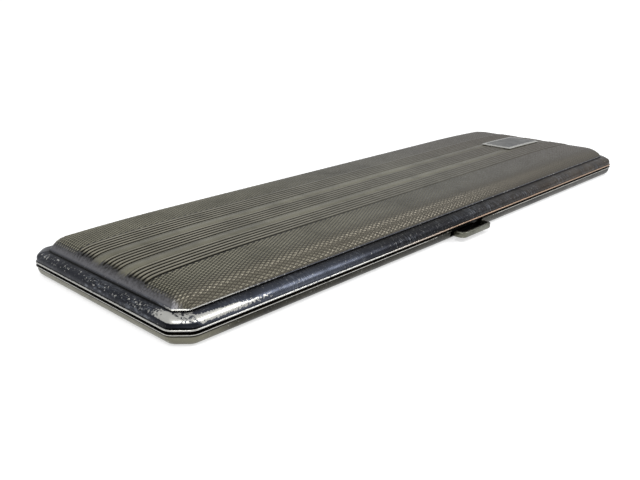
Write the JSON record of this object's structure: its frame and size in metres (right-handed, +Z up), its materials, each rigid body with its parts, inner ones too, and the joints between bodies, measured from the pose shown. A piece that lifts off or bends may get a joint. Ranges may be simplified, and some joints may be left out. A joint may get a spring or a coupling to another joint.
{
  "type": "cigarette case",
  "caption": "Long flat silver-plated cigarette case with a cushioned engine-turned lid, a knuckle hinge along the back and a push catch at the front.",
  "frame": {"origin": "the middle of the footprint, catch and hinge included, on the surface that the case lies on", "axes": "+X runs along the case towards the end with the plain plate, -Y is the side with the catch, +Y is the side with the hinge, +Z is up, from the base to the lid"},
  "size_m": [0.256, 0.086, 0.0141],
  "materials": {
    "silver_plate": "silver-plated nickel silver, polished, dark with tarnish and fine scratches",
    "gilt": "gilt sheet, satin, inside the case",
    "spring_steel": "bare hardened steel",
    "woven_elastic": "woven elastic ribbon, matt"
  },
  "bodies": {
    "base": {"base_shell": "silver_plate", "base_bezel": "gilt", "base_hinge_wing": "gilt", "base_knuckle_1": "silver_plate", "base_knuckle_2": "silver_plate", "base_knuckle_3": "silver_plate", "base_knuckle_4": "silver_plate", "base_knuckle_5": "silver_plate", "hinge_pin": "spring_steel", "catch_spring": "spring_steel", "spring_rivet_left": "spring_steel", "spring_rivet_right": "spring_steel", "elastic_strap": "woven_elastic", "strap_clip_left": "gilt", "strap_clip_right": "gilt"},
    "lid": {"lid_shell": "silver_plate", "cartouche": "silver_plate", "lid_hinge_wing": "gilt", "lid_knuckle_1": "silver_plate", "lid_knuckle_2": "silver_plate", "lid_knuckle_3": "silver_plate", "lid_knuckle_4": "silver_plate", "catch_keeper": "gilt"},
    "catch": {"thumb_piece": "silver_plate", "catch_hook": "spring_steel"}
  },
  "joints": [
    {"name": "lid_hinge", "type": "hinge", "parent": "base", "child": "lid", "pos_m": [0, 0.0416, 0.0043], "axis": [-1, 0, 0], "range_deg": [0, 154]},
    {"name": "thumb_push", "type": "slide", "parent": "base", "child": "catch", "axis": [0, 1, 0], "range_m": [0, 0.0012], "stiffness_N_per_m": 2000, "springref_m": -0.0005, "deforming": ["catch_spring"]}
  ]
}
